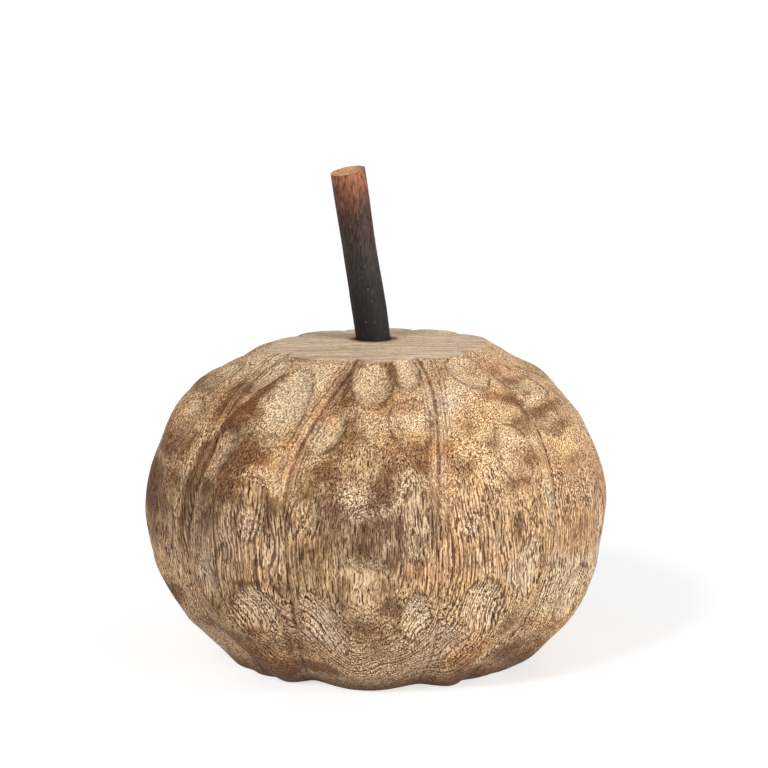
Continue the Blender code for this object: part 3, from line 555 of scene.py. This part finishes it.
def make_body():
    """The carved block, with the blind hole for the twig in its sanded top."""
    grid, marks = carved_grid()
    rim, foot_ring = grid[-1], grid[0]
    azimuths = np.arctan2(rim[:, 0], -rim[:, 1])
    axis, right, front = stem_frame()
    foot = stem_foot()

    # The hole's mouth, one point for each column, turned to face the rim's own points
    radius = STEM_RADIUS + HOLE_GAP
    around = np.outer(np.cos(azimuths), front) + np.outer(np.sin(azimuths), right)
    mouth = foot + radius * around
    mouth += np.outer((foot[2] - mouth[:, 2]) / axis[2], axis)
    floor = foot + radius * around - HOLE_DEPTH * axis

    base = [foot_ring * share for share in np.linspace(0.0, 1.0, BASE_RINGS + 1)[1:-1]]
    top = []
    for share in np.linspace(0.0, 1.0, TOP_RINGS + 2)[1:-1]:
        ring = rim * (1 - share) + mouth * share
        ring[:, 2] = BODY_HEIGHT + TOP_DOME * (1 - (1 - share) ** 2)
        top.append(ring)
    rings = [tilted(ring) for ring in (*base, *grid, *top, mouth)] + [floor]
    padded = {}
    for mark, values in marks.items():
        beyond = FAR_OFF_MM if mark in ("off_rim", "off_crease") else 0.0
        before = np.full((len(base), values.shape[1]), beyond)
        after = np.full((len(top) + 2, values.shape[1]), beyond)
        padded[mark] = np.concatenate([before, values, after])
    top_side = np.zeros(len(rings))
    top_side[len(base) + len(grid) - 1:] = 1.0
    padded["sanded"] = np.repeat(top_side, len(rim))
    return solid_from_rings("carved_wood_body", rings, padded)


# The twig's finer surface
STEM_SIDES = 96
STEM_ROWS = 150
SMOOTH_FOOT_ROWS = 3
CUT_FROM = 0.9
CUT_RINGS = 14
BARK_WRINKLE = 0.05 * MM
BARK_FINE = 0.025 * MM


def make_stem():
    """The twig: a plain round foot in its hole, then an uneven rod with a slanted cut."""
    axis, right, front = stem_frame()
    foot = stem_foot()
    turns = np.arange(STEM_SIDES) * 2 * math.pi / STEM_SIDES
    around = np.outer(np.cos(turns), front) + np.outer(np.sin(turns), right)
    rings = [foot - STEM_SUNK * axis + STEM_RADIUS * around]
    heights = [0.0]
    for row in range(STEM_ROWS + 1):
        share = row / STEM_ROWS
        swing = STEM_WANDER * math.sin(2 * math.pi * STEM_WANDER_TURNS * share) * (1 - share)
        radius = STEM_RADIUS * (1.0 + STEM_SWELL * math.sin(2 * math.pi * STEM_SWELL_TURNS * share))
        centre = foot + share * STEM_LENGTH * axis + swing * right
        ring = centre + radius * around
        rough = []
        for p in ring / MM:
            tall = noise.noise(Vector((p[0] * 0.8, p[1] * 0.8, p[2] * 0.12)))
            fine = noise.noise(Vector((p[0] * 2.2, p[1] * 2.2, p[2] * 1.4)))
            rough.append(BARK_WRINKLE * tall + BARK_FINE * fine)
        amount = min(1.0, row / SMOOTH_FOOT_ROWS)
        rings.append(ring + np.array(rough)[:, np.newaxis] * around * amount)
        heights.append(share)

    # The cut slants towards the front and a little to the side
    cut = rings[-1]
    centre = cut.mean(axis=0)
    slope = -math.tan(math.radians(STEM_CUT_FORWARD)) * ((cut - centre) @ front)
    slope -= math.tan(math.radians(STEM_CUT_SIDE)) * ((cut - centre) @ right)
    for index, ring in enumerate(rings[1:], start=1):
        near = max(0.0, (heights[index] - CUT_FROM) / (1.0 - CUT_FROM))
        rings[index] = ring + np.outer(slope * near, axis)
    rim = rings[-1]
    centre = rim.mean(axis=0)
    sawn = [0.0] * len(rings)
    for share in np.linspace(0.0, 1.0, CUT_RINGS + 1)[1:-1]:
        rings.append(rim * (1 - share) + centre * share)
        sawn.append(1.0)
    marks = {"height": np.repeat(heights + [1.0] * (len(rings) - len(heights)), STEM_SIDES),
             "sawn": np.repeat(sawn, STEM_SIDES)}
    return solid_from_rings("twig", rings, marks)


class Graph:
    """A material whose nodes are made and joined with few words."""

    def __init__(self, name):
        self.material = bpy.data.materials.new(name)
        self.material.use_nodes = True
        self.tree = self.material.node_tree
        self.shader = self.tree.nodes["Principled BSDF"]

    def plug(self, socket, value):
        if isinstance(value, bpy.types.NodeSocket):
            self.tree.links.new(value, socket)
        elif socket.type == "RGBA":
            socket.default_value = (*value, 1.0)
        else:
            socket.default_value = value

    def node(self, kind, inputs=(), **settings):
        made = self.tree.nodes.new(kind)
        for setting, value in settings.items():
            setattr(made, setting, value)
        for key, value in dict(inputs).items():
            self.plug(made.inputs[key], value)
        return made

    def surface(self, inputs):
        for key, value in inputs.items():
            self.plug(self.shader.inputs[key], value)

    def math(self, operation, *values, clamp=False):
        inputs = dict(enumerate(values))
        return self.node("ShaderNodeMath", inputs, operation=operation, use_clamp=clamp).outputs[0]

    def times(self, a, b, clamp=False):
        return self.math("MULTIPLY", a, b, clamp=clamp)

    def plus(self, a, b):
        return self.math("ADD", a, b)

    def minus(self, a, b):
        return self.math("SUBTRACT", a, b)

    def bell(self, value, width):
        """A narrow bump: 1 where value is 0, gone a little beyond width."""
        squared = self.math("POWER", self.math("DIVIDE", value, width), 2.0)
        return self.math("EXPONENT", self.times(squared, -1.0))

    def about(self, value, amount):
        """Noise, which lies round one half, turned to lie round 0 and stretched by amount."""
        return self.times(self.minus(value, 0.5), amount)

    def vector(self, operation, a, b):
        return self.node("ShaderNodeVectorMath", {0: a, 1: b}, operation=operation).outputs[0]

    def place_mm(self):
        """The place on the piece, in mm."""
        place = self.node("ShaderNodeTexCoord").outputs["Object"]
        return self.vector("MULTIPLY", place, (1000.0, 1000.0, 1000.0))

    def split(self, vector):
        return self.node("ShaderNodeSeparateXYZ", {0: vector}).outputs

    def join(self, x, y, z):
        return self.node("ShaderNodeCombineXYZ", {0: x, 1: y, 2: z}).outputs[0]

    def noise(self, vector, scales, detail, roughness=0.5):
        """Noise with a grain of about 1, finer or coarser along each axis by scales."""
        if scales:
            vector = self.vector("MULTIPLY", vector, scales)
        inputs = {"Vector": vector, "Scale": 1.0, "Detail": detail, "Roughness": roughness}
        return self.node("ShaderNodeTexNoise", inputs).outputs

    def cells(self, vector):
        return self.node("ShaderNodeTexVoronoi", {"Vector": vector, "Scale": 1.0}).outputs

    def between(self, value, low, high, to_low=0.0, to_high=1.0):
        """A smooth step of value from low to high."""
        inputs = {0: value, 1: low, 2: high, 3: to_low, 4: to_high}
        return self.node("ShaderNodeMapRange", inputs, interpolation_type="SMOOTHSTEP").outputs[0]

    def ramp(self, value, *stops):
        made = self.node("ShaderNodeValToRGB", {0: value})
        elements = made.color_ramp.elements
        while len(elements) < len(stops):
            elements.new(0.5)
        for element, (place, colour) in zip(elements, stops):
            element.position = place
            element.color = (*colour, 1.0)
        return made.outputs[0]

    def mix(self, share, a, b, blend="MIX"):
        made = self.node("ShaderNodeMix", data_type="RGBA", blend_type=blend)
        colours = [s for s in made.inputs if s.type == "RGBA"]
        self.plug(made.inputs[0], share)
        self.plug(colours[0], a)
        self.plug(colours[1], b)
        return [s for s in made.outputs if s.type == "RGBA"][0]

    def blend(self, share, a, b):
        """A number between a and b."""
        made = self.node("ShaderNodeMix", {0: share, 2: a, 3: b}, data_type="FLOAT")
        return made.outputs[0]

    def mark(self, name):
        return self.node("ShaderNodeAttribute", attribute_name=name).outputs["Fac"]

    def bump(self, height, strength, distance, normal=None):
        inputs = {"Height": height, "Strength": strength, "Distance": distance}
        if normal is not None:
            inputs["Normal"] = normal
        return self.node("ShaderNodeBump", inputs).outputs[0]


def colour(red, green, blue):
    """A colour in the shaders' linear terms from 8-bit screen values."""
    def linear(value):
        value /= 255.0
        return value / 12.92 if value <= 0.04045 else ((value + 0.055) / 1.055) ** 2.4
    return linear(red), linear(green), linear(blue)


# Colours of the wood, and of the shade painted on it
TAN = colour(192, 152, 108)
GREY_TAN = colour(170, 147, 117)
YELLOW_TAN = colour(200, 164, 110)
RED_BROWN = colour(184, 122, 70)
PALE = colour(218, 194, 164)
BRIGHT = colour(253, 226, 182)
WARM_BRIGHT = colour(240, 190, 132)
GREY_BRIGHT = colour(232, 216, 190)
LATE_WOOD = colour(92, 60, 40)
PORE = colour(48, 30, 20)
STAIN_AND_EDGE_SHADE = colour(88, 58, 37)
FOOT_SHADE_COLOUR = colour(84, 52, 32)
SHADE_TINT = colour(150, 120, 90)
GREY_SHADE_TINT = colour(138, 120, 100)
RED_CREASE_LINE_AND_SHADE = colour(108, 66, 42)
SANDED = colour(236, 212, 184)
GLUE_STAIN = colour(132, 72, 46)

# Colours of the bark from its foot to its cut and of the cut face, which darkens to the right
BARK_COLOURS = (
    (0.0, colour(24, 16, 13)), (0.28, colour(32, 27, 25)), (0.52, colour(56, 43, 37)),
    (0.72, colour(64, 41, 31)), (0.86, colour(106, 63, 43)), (0.97, colour(150, 94, 64)),
)
BARK_FURROW = colour(110, 100, 95)
BARK_DOT = colour(150, 128, 112)
CUT_COLOURS = ((0.35, colour(150, 98, 66)), (0.65, colour(222, 172, 130)))
CUT_DARK = colour(112, 72, 52)
CUT_DARKENS_MM = (-4.8, -2.8)

# The rings' bends from slow to fine: scales of the noise, its detail, and the reach in mm
SWAYS = (((0.030, 0.030, 0.016), 1.0, 12.0), ((0.15, 0.15, 0.06), 2.0, 1.6),
         ((1.1, 1.1, 0.40), 2.0, 0.30))

# Vessels cut by the surface, the last kind small: scales of the cells, where they start, and
# their least size and its spread
VESSELS = (((2.00, 2.00, 0.15), 0.0, 0.12, 0.18), ((1.90, 1.90, 0.10), 37.0, 0.11, 0.18),
           ((2.80, 2.80, 0.80), 71.0, 0.15, 0.24))
PORES_SHIFT_MM = 14.0

# Heights in mm over which the wood's look changes, each from where it starts to where it is full
PORES_OPEN = (54.0, 46.0)
RING_LINES_SEEN = (48.0, 39.0)
FLECKS_END = (52.0, 42.0)
GREY_SHADES_FROM = (50.0, 40.0)
GREY_SHADES_TO = (22.0, 12.0)
DARK_GRAIN_FROM = (24.0, 34.0)
CREASE_HOLLOW_SHADE_HEIGHTS = (30.0, 55.0)
CREASES_DARKEN_UP = (36.0, 56.0)
CREASES_DARKEN_DOWN = (24.0, 12.0)
FOOT_SHADE_HEIGHTS = (6.0, 0.0)

# The dark lines in and beside a crease, partly fine gouge lines and partly painted shade in the
# crease: distance from it in mm, strength, width in mm
CREASE_LINES = ((0.0, 1.0, 0.30), (0.9, 0.35, 0.20), (1.7, 0.60, 0.22), (2.6, 0.40, 0.22))

# The stain round the twig's foot, from its faint edge to its full strength
GLUE_RING_MM = (6.0, 4.7)


def wood_material():
    """Open-pored brown hardwood, its fibres upright, cut through its rings by the carving."""
    g = Graph("open_pored_wood")
    p = g.place_mm()
    z = g.split(p)[2]

    # The grain's sway
    sway = (0.0, 0.0, 0.0)
    for scales, detail, reach in SWAYS:
        drift = g.vector("SUBTRACT", g.noise(p, scales, detail)["Color"], (0.5, 0.5, 0.5))
        sway = g.vector("ADD", sway, g.vector("MULTIPLY", drift, (reach, reach, 0.0)))
    swayed = g.vector("ADD", p, sway)
    sx, sy, _ = g.split(swayed)
    dx, dy = g.minus(sx, PITH_X_MM), g.minus(sy, PITH_Y_MM)
    out = g.math("SQRT", g.plus(g.times(dx, dx), g.times(dy, dy)))

    # Rings of uneven width: a dark line at the end of each, as thin on a shallow cut as on a
    # steep one, broken along its way, and darker in some rings than in others
    width = g.noise(g.join(g.times(out, 0.40), 0.0, 0.0), None, 2.0)["Fac"]
    phase = g.plus(g.math("DIVIDE", out, RING_MM), g.times(width, 3.0))
    to_line = g.math("ABSOLUTE", g.minus(g.math("FRACT", phase), 0.5))
    ring_number = g.math("FLOOR", phase)
    luck = g.node("ShaderNodeTexWhiteNoise", {"W": ring_number}, noise_dimensions="1D").outputs[0]
    half_line = g.between(g.mark("steep"), 0.0, 0.75, 0.04, 0.75 * LINE_MM / RING_MM)
    ring_line = g.between(to_line, half_line, g.times(half_line, 0.3))
    broken = g.noise(p, (0.8, 0.8, 0.28), 2.0)["Fac"]
    ring_line = g.times(ring_line, g.between(luck, 0.0, 0.6, 0.50, 1.0))
    ring_line = g.times(ring_line, g.between(broken, 0.36, 0.50, 0.25, 1.0))

    # Pores: long vessels, cut to dashes on upright surfaces and to dots on sloping ones, open
    # and dark at the waist and below it, filled and faint above
    rich = g.noise(p, (0.11, 0.11, 0.05), 2.0)["Fac"]
    edge_z = g.plus(z, g.about(rich, 40.0))
    edge_z = g.minus(edge_z, g.times(g.mark("pored"), PORES_SHIFT_MM))
    open_pores = g.between(edge_z, *PORES_OPEN)
    lined = g.between(g.plus(z, g.about(rich, 20.0)), *RING_LINES_SEEN, 0.05, 1.0)
    ring_line = g.times(ring_line, lined)
    rich = g.between(rich, 0.30, 0.55, 0.80, 1.0)
    holes = []
    for scale, slip, low, spread in VESSELS:
        moved = g.vector("ADD", g.vector("MULTIPLY", swayed, scale), (slip, slip, slip))
        pores = g.cells(moved)
        chance = g.split(pores["Color"])[0]
        size = g.times(g.plus(g.times(chance, spread), low), rich)
        holes.append(g.between(g.minus(pores["Distance"], size), 0.09, 0.0))
    vessels = g.math("MAXIMUM", holes[0], holes[1])
    vessels = g.times(vessels, g.between(open_pores, 0.0, 1.0, 0.14, 1.0))
    small = g.times(holes[2], g.between(open_pores, 0.0, 1.0, 0.5, 1.0))

    # Fibres: streaks where they are cut lengthwise; elsewhere grains, and above the waist
    # short slanting flecks
    upright = g.between(g.mark("upright"), 0.55, 0.90)
    fibre = g.noise(swayed, (2.6, 2.6, 0.20), 3.0, 0.65)["Fac"]
    grit = g.noise(p, (3.2, 3.2, 2.6), 2.0, 0.6)["Fac"]
    px, py, _ = g.split(p)
    slanted = g.join(g.plus(g.times(px, 1.4), g.times(z, 1.7)), g.times(py, 2.8),
                     g.minus(g.times(z, 2.7), g.times(px, 3.7)))
    fleck = g.noise(slanted, None, 2.0, 0.6)["Fac"]
    grain = g.blend(g.between(z, *FLECKS_END), fleck, grit)
    grain = g.blend(g.times(upright, 0.75), grain, fibre)

    # Where the cuts are: distances from a scoop's edge and from a crease, a little unsteady
    shaky = g.noise(p, (0.45, 0.45, 0.45), 3.0, 0.6)
    shaky_a, shaky_b, shaky_c = g.split(shaky["Color"])
    off_rim = g.plus(g.mark("off_rim"), g.about(shaky_a, 1.9))
    inside = g.between(off_rim, 0.50, -1.30)
    # A dark line along the crisp edge of each scoop: partly the wood's darker cut edge, partly
    # painted shade of the step
    rim = g.times(g.bell(off_rim, 0.30), g.between(shaky_b, 0.43, 0.57, 0.15, 1.0))
    off_crease = g.plus(g.mark("off_crease"), g.about(shaky_c, 1.0))
    # Dark lines in and beside each crease: partly fine gouge lines, partly painted shade in the
    # crease
    crease_lines_and_shade = 0.0
    for far, strength, line_width in CREASE_LINES:
        line = g.bell(g.minus(off_crease, far), line_width)
        crease_lines_and_shade = g.plus(g.times(line, strength), crease_lines_and_shade)
    crease_lines_and_shade = g.times(crease_lines_and_shade, g.between(shaky_b, 0.38, 0.60, 0.50, 1.0))
    reach = g.math("MAXIMUM", g.between(z, *CREASES_DARKEN_UP, 0.30, 1.0),
                   g.between(z, *CREASES_DARKEN_DOWN, 0.30, 0.75))
    crease_lines_and_shade = g.times(crease_lines_and_shade, reach, clamp=True)
    # A painted highlight: a pale strip along each side of a crease
    crease_lip_highlight = g.bell(g.minus(off_crease, 0.95), 0.45)
    # Painted shade in the hollow near each crease
    crease_hollow_shade = g.between(g.mark("off_crease"), 2.6, 0.0)

    # Colour: tan, in patches greyer, yellower and redder
    patch = g.noise(p, (0.060, 0.060, 0.055), 3.0, 0.6)
    tints = g.split(patch["Color"])
    smear = g.noise(swayed, (0.55, 0.55, 0.22), 3.0, 0.6)["Fac"]
    smear = g.between(smear, 0.28, 0.66, 0.70, 1.20)
    wood = g.mix(g.between(tints[0], 0.44, 0.62, 0.0, 0.6), TAN, GREY_TAN)
    wood = g.mix(g.between(tints[1], 0.48, 0.64, 0.0, 0.7), wood, YELLOW_TAN)
    wood = g.mix(g.between(tints[2], 0.52, 0.68, 0.0, 0.5), wood, RED_BROWN)
    tint = g.mark("tint")
    wood = g.mix(g.between(tint, 0.0, 1.0, 0.0, 0.75), wood, RED_BROWN)
    wood = g.mix(g.between(tint, 0.0, -1.0, 0.0, 0.75), wood, GREY_TAN)
    # Painted shade in the creases' hollows: reddish brown mixed in, more towards the top
    wood = g.mix(g.times(crease_hollow_shade, g.between(z, *CREASE_HOLLOW_SHADE_HEIGHTS, 0.10, 0.34)), wood, RED_BROWN)
    pale = g.times(inside, g.between(shaky_b, 0.40, 0.60, 0.12, 0.40))
    wood = g.mix(pale, wood, PALE)
    ragged = g.noise(p, (0.9, 0.9, 0.7), 3.0, 0.65)["Fac"]
    # The spots of SHADES: partly the wood's own tone, partly painted shade where darker and painted
    # light where paler
    shade = g.times(g.mark("shade"), g.plus(smear, g.about(ragged, 0.8)))
    wood = g.mix(g.between(shade, 0.0, -1.0, 0.0, 0.72), wood, PALE)
    streak = g.between(fibre, 0.40, 0.60)
    wood = g.mix(g.times(streak, 0.22), wood, RED_BROWN)
    light_share = g.between(upright, 0.0, 1.0, 0.74, 0.46)
    light_grain = g.times(g.between(grain, 0.50, 0.59), light_share)
    bright = g.mix(g.between(tint, 0.0, 1.0, 0.0, 0.80), BRIGHT, WARM_BRIGHT)
    bright = g.mix(g.between(tint, 0.0, -1.0, 0.0, 0.80), bright, GREY_BRIGHT)
    wood = g.mix(light_grain, wood, bright)
    dark_share = g.between(upright, 0.0, 1.0, 0.78, 0.55)
    dark_grain = g.times(g.between(grain, 0.51, 0.43), dark_share)
    dark_grain = g.times(dark_grain, g.between(z, *DARK_GRAIN_FROM, 0.50, 1.0))
    dark_grain = g.times(dark_grain, g.between(g.mark("pored"), 0.0, 0.6, 1.0, 0.70))
    wood = g.mix(dark_grain, wood, STAIN_AND_EDGE_SHADE)
    # Darker spots multiply in: partly the wood's own tone, partly painted shade
    shade_tint = g.mix(g.between(z, *GREY_SHADES_FROM), SHADE_TINT, GREY_SHADE_TINT)
    shade_tint = g.mix(g.between(z, *GREY_SHADES_TO), shade_tint, SHADE_TINT)
    wood = g.mix(g.between(shade, 0.0, 1.0, 0.0, 0.95), wood, shade_tint, "MULTIPLY")
    # The painted highlight beside the creases
    wood = g.mix(g.times(crease_lip_highlight, 0.12), wood, PALE)
    # Painted shade in the creases, with the fine gouge lines there, in a dark red brown
    wood = g.mix(g.times(crease_lines_and_shade, 0.88), wood, RED_CREASE_LINE_AND_SHADE)
    # The scoop edges' dark line, partly the wood's own and partly painted shade
    wood = g.mix(g.times(rim, 0.78), wood, STAIN_AND_EDGE_SHADE)
    # Painted shade: the wood darkens towards the foot, where it stands on the floor
    wood = g.mix(g.between(z, *FOOT_SHADE_HEIGHTS, 0.0, 0.95), wood, FOOT_SHADE_COLOUR)

    # The sanded top: smoother and paler, with broad bands of the rings lying across it
    sanded = g.mark("sanded")
    band = g.noise(p, (0.05, 0.60, 0.0), 3.0, 0.6)["Fac"]
    disc = g.mix(g.between(band, 0.42, 0.58, 0.0, 0.42), SANDED, STAIN_AND_EDGE_SHADE)
    streaks = g.noise(p, (0.35, 2.2, 0.0), 3.0, 0.6)["Fac"]
    disc = g.mix(g.between(streaks, 0.50, 0.60, 0.0, 0.50), disc, STAIN_AND_EDGE_SHADE)
    wood = g.mix(g.times(sanded, 0.72), wood, disc)
    foot_x, foot_y = STEM_FOOT_X / MM, STEM_FOOT_Y / MM
    foot_off = g.node("ShaderNodeVectorMath", {0: p, 1: (foot_x, foot_y, BODY_HEIGHT / MM)},
                      operation="DISTANCE").outputs["Value"]
    foot_off = g.plus(foot_off, g.about(shaky_a, 3.0))
    glue = g.times(sanded, g.between(foot_off, *GLUE_RING_MM, 0.0, 0.80))
    wood = g.mix(glue, wood, GLUE_STAIN)
    wood = g.mix(g.times(ring_line, 0.92), wood, LATE_WOOD)
    wood = g.mix(g.times(small, 0.88), wood, LATE_WOOD)
    wood = g.mix(g.times(vessels, 0.95), wood, PORE)

    # Relief: the grain and the pores, and a step at the gouge's edges and in the creases
    deep = g.minus(g.times(grain, 1.2), vessels)
    deep = g.minus(deep, g.times(small, 0.4))
    deep = g.minus(deep, g.times(ring_line, 0.4))
    fine = g.bump(deep, 0.8, 0.18 * MM)
    steps = g.plus(g.times(inside, -1.0), g.times(crease_lines_and_shade, -1.2))
    g.surface({"Base Color": wood, "Roughness": 0.74, "Specular IOR Level": 0.25,
               "Normal": g.bump(steps, 1.0, 0.50 * MM, fine)})
    return g.material


def bark_material():
    """Dry bark, reddish brown at the cut end and nearly black at the foot."""
    g = Graph("dry_bark")
    p = g.place_mm()
    height, sawn = g.mark("height"), g.mark("sawn")
    cloud = g.noise(p, (0.5, 0.5, 0.2), 3.0, 0.6)["Fac"]
    bark = g.ramp(g.plus(height, g.about(cloud, 0.35)), *BARK_COLOURS)
    grain = g.noise(p, (2.2, 2.2, 0.5), 3.0, 0.6)["Fac"]
    furrow = g.mix(1.0, bark, BARK_FURROW, "MULTIPLY")
    bark = g.mix(g.between(grain, 0.60, 0.30), bark, furrow)
    dots = g.cells(g.vector("MULTIPLY", p, (0.9, 0.9, 0.6)))
    dot = g.between(dots["Distance"], 0.20, 0.10)
    bark = g.mix(g.times(dot, 0.16), bark, BARK_DOT)
    face = g.noise(p, (1.4, 1.4, 1.4), 3.0, 0.6)["Fac"]
    face = g.ramp(face, *CUT_COLOURS)
    face = g.mix(g.between(g.split(p)[0], *CUT_DARKENS_MM, 0.0, 0.6), face, CUT_DARK)
    bark = g.mix(g.between(sawn, 0.3, 0.6), bark, face)
    g.surface({"Base Color": bark, "Roughness": 0.7, "Specular IOR Level": 0.3,
               "Normal": g.bump(grain, 0.5, 0.12 * MM)})
    return g.material


# The view: a camera fitted to the body's outline in a square frame
VIEW_DISTANCE = 500.0 * MM
VIEW_ELEVATION = 9.48
VIEW_AIM = Vector((1.75, 0.0, 59.33)) * MM
LENS_MM = 107.4
SENSOR_MM = 36.0


def make_camera():
    data = bpy.data.cameras.new("camera")
    data.lens, data.sensor_width = LENS_MM, SENSOR_MM
    data.clip_start, data.clip_end = 0.01, 10.0
    camera = bpy.data.objects.new("camera", data)
    bpy.context.scene.collection.objects.link(camera)
    rise = math.radians(VIEW_ELEVATION)
    back = Vector((0.0, -math.cos(rise), math.sin(rise)))
    camera.location = VIEW_AIM + VIEW_DISTANCE * back
    camera.rotation_euler = (-back).to_track_quat("-Z", "Y").to_euler()
    bpy.context.scene.camera = camera


# The stage: a pale glowing floor with a low wall far away, a white sky, a broad window at the
# right that lights only the pieces, one at the left that also casts the floor's shadow, and a
# low panel at the right
FLOOR_REACH = 6.0
WALL_HEIGHT = 1.1
WALL_SIDES = 96
FLOOR_GLOW = 0.648
FLOOR_FAINT_GLOW = 0.58
FLOOR_WHITE = (0.57, 0.58, 0.595)
SKY_LIGHT = 0.36
RIGHT_WINDOW = ("right_window", 1.90, 24.0, (0.52, -0.58, 0.63))
LEFT_WINDOW = ("left_window", 1.35, 12.0, (-0.50, -0.66, 0.66))
SIDE_FROM = (0.56, -0.32, 0.07)
SIDE_SIZE = 0.5
SIDE_LIGHT = 3.0


def make_studio():
    """Floor, sky and lights; gives the collection of what the right window lights."""
    pieces = bpy.data.collections.new("lit_by_right_window")
    turns = np.arange(WALL_SIDES) * 2 * math.pi / WALL_SIDES
    low = np.stack([FLOOR_REACH * np.cos(turns), FLOOR_REACH * np.sin(turns), 0 * turns], axis=1)
    high = low + np.array((0.0, 0.0, WALL_HEIGHT))
    faces = [tuple(range(WALL_SIDES))]
    for side in range(WALL_SIDES):
        after = (side + 1) % WALL_SIDES
        faces.append((after, side, side + WALL_SIDES, after + WALL_SIDES))
    mesh = bpy.data.meshes.new("floor")
    mesh.from_pydata(np.concatenate([low, high]).tolist(), [], faces)
    floor = bpy.data.objects.new("floor", mesh)
    bpy.context.scene.collection.objects.link(floor)
    g = Graph("white_floor")
    seen = g.node("ShaderNodeLightPath").outputs["Is Camera Ray"]
    glow = g.between(seen, 0.0, 1.0, FLOOR_FAINT_GLOW, FLOOR_GLOW)
    g.surface({"Base Color": FLOOR_WHITE, "Roughness": 0.9, "Specular IOR Level": 0.0,
               "Emission Color": (1.0, 1.0, 1.0), "Emission Strength": glow})
    mesh.materials.append(g.material)

    world = bpy.data.worlds.new("white_room")
    world.use_nodes = True
    sky = world.node_tree.nodes["Background"]
    sky.inputs["Color"].default_value = (1.0, 1.0, 1.0, 1.0)
    sky.inputs["Strength"].default_value = SKY_LIGHT
    bpy.context.scene.world = world

    for name, power, spread, way in (RIGHT_WINDOW, LEFT_WINDOW):
        sun = bpy.data.lights.new(name, "SUN")
        sun.energy, sun.angle = power, math.radians(spread)
        window = bpy.data.objects.new(name, sun)
        window.rotation_euler = Vector(way).to_track_quat("Z", "Y").to_euler()
        bpy.context.scene.collection.objects.link(window)
        if name == RIGHT_WINDOW[0]:
            window.light_linking.receiver_collection = pieces
    panel = bpy.data.lights.new("side_panel", "AREA")
    panel.shape, panel.size, panel.energy = "DISK", SIDE_SIZE, SIDE_LIGHT
    side = bpy.data.objects.new("side_panel", panel)
    side.location = SIDE_FROM
    side.rotation_euler = Vector(SIDE_FROM).to_track_quat("Z", "Y").to_euler()
    bpy.context.scene.collection.objects.link(side)
    bpy.context.scene.view_settings.view_transform = "Standard"
    return pieces


make_camera()
lit = make_studio()

body = make_body()
lit.objects.link(body)
body.data.materials.append(wood_material())
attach(body, "root")
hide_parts("carved_body")

stem = make_stem()
lit.objects.link(stem)
stem.data.materials.append(bark_material())
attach(stem, "root")
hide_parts("twig_stem")
